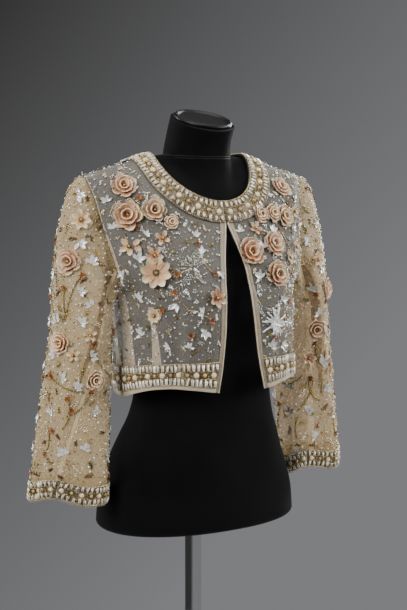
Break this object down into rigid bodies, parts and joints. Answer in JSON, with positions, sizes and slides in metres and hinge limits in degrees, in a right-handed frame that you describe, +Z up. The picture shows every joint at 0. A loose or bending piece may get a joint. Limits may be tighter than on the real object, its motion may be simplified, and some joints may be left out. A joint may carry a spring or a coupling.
{
  "type": "evening jacket on a dress form",
  "caption": "Cropped collarless beaded silk evening jacket with long set-in sleeves, open in front, on a limbless dress form with a round-footed stand.",
  "frame": {"origin": "under the middle of the stand's round foot, on the floor", "axes": "+Z up; the jacket's front faces -Y; the wearer's right side is at -X"},
  "size_m": [0.609, 0.36, 1.4894],
  "materials": {
    "silk_organza": "sheer champagne silk organza, beaded all over",
    "bead_border": "bugles, stones and cabochons sewn to a border",
    "satin_edge": "champagne satin binding",
    "black_jersey": "black jersey cover",
    "black_cap": "black satin finish",
    "bright_steel": "bright chrome-plated steel"
  },
  "bodies": {
    "root": {"front_right": "silk_organza", "front_left": "silk_organza", "back": "silk_organza", "sleeve_upper_right": "silk_organza", "sleeve_upper_left": "silk_organza", "sleeve_under_right": "silk_organza", "sleeve_under_left": "silk_organza", "neck_band_right": "bead_border", "neck_band_left": "bead_border", "neck_band_back": "bead_border", "hem_band_right": "bead_border", "hem_band_left": "bead_border", "hem_band_back": "bead_border", "cuff_band_right": "bead_border", "cuff_band_left": "bead_border", "front_binding_right": "satin_edge", "front_binding_left": "satin_edge", "form_torso": "black_jersey", "form_cap": "black_cap", "stand_pole": "bright_steel", "stand_base": "bright_steel"}
  },
  "joints": []
}
